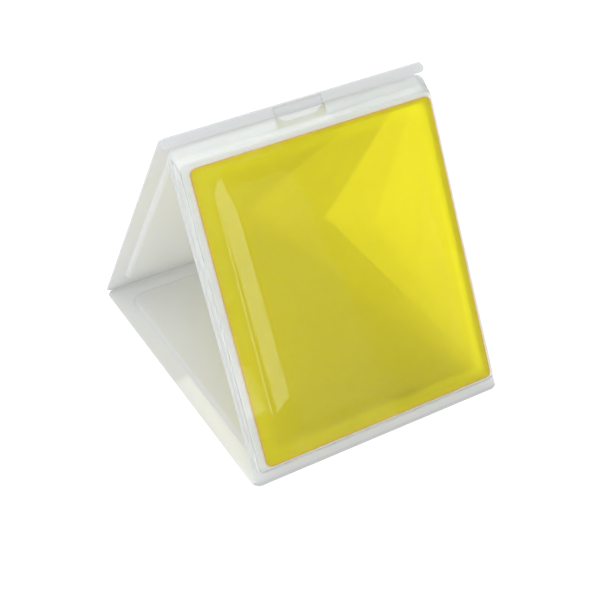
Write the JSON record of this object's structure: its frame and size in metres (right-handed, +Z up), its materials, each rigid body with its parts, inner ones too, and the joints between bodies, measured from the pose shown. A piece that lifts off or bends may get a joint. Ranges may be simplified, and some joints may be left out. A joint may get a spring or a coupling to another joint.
{
  "type": "delta insect trap",
  "caption": "Triangular tent trap of milky plastic, open at both ends, with a yellow sticky sheet under a clear cover, a tuck tab at the ridge and a lure clipped to the floor.",
  "frame": {"origin": "on the surface that the trap stands on, under the middle of the whole trap's box", "axes": "+X along the ridge, -Y the side of the yellow sheet, +Z up"},
  "size_m": [0.168, 0.202, 0.1752],
  "materials": {
    "milky_plastic": "milky translucent formed sheet, satin",
    "clear_plastic": "crisp clear formed sheet, glossy",
    "yellow_plastic": "transparent yellow sheet, glossy",
    "insect_glue": "clear tacky film",
    "lure_rubber": "dark olive, dull",
    "lure_felt": "loaded felt"
  },
  "bodies": {
    "floor": {"floor_panel": "milky_plastic", "front_fold": "milky_plastic", "back_fold": "milky_plastic", "lure_clip": "milky_plastic"},
    "front": {"front_panel": "milky_plastic", "front_cover": "clear_plastic"},
    "sheet": {"yellow_sheet": "yellow_plastic", "glue_layer": "insect_glue"},
    "back": {"back_panel": "milky_plastic"},
    "tab": {"latch_tab": "milky_plastic"},
    "lure": {"lure_tube": "lure_rubber", "lure_core": "lure_felt", "lure_end_plugs": "lure_rubber"}
  },
  "joints": [
    {"name": "front_panel_open", "type": "hinge", "parent": "floor", "child": "front", "pos_m": [0, -0.1, 0.001], "axis": [1, 0, 0], "range_deg": [0, 80]},
    {"name": "back_panel_open", "type": "hinge", "parent": "floor", "child": "back", "pos_m": [0, 0.1, 0.001], "axis": [-1, 0, 0], "range_deg": [0, 120]},
    {"name": "latch_tab_flex", "type": "hinge", "parent": "back", "child": "tab", "pos_m": [0, 0, 0.17421], "axis": [1, 0, 0], "range_deg": [0, 20], "stiffness_Nm_per_rad": 0.005},
    {"name": "yellow_sheet_slide", "type": "slide", "parent": "front", "child": "sheet", "axis": [1, 0, 0], "range_m": [0, 0.14]},
    {"name": "lure_slide", "type": "slide", "parent": "floor", "child": "lure", "axis": [1, 0, 0], "range_m": [0, 0.045]}
  ]
}
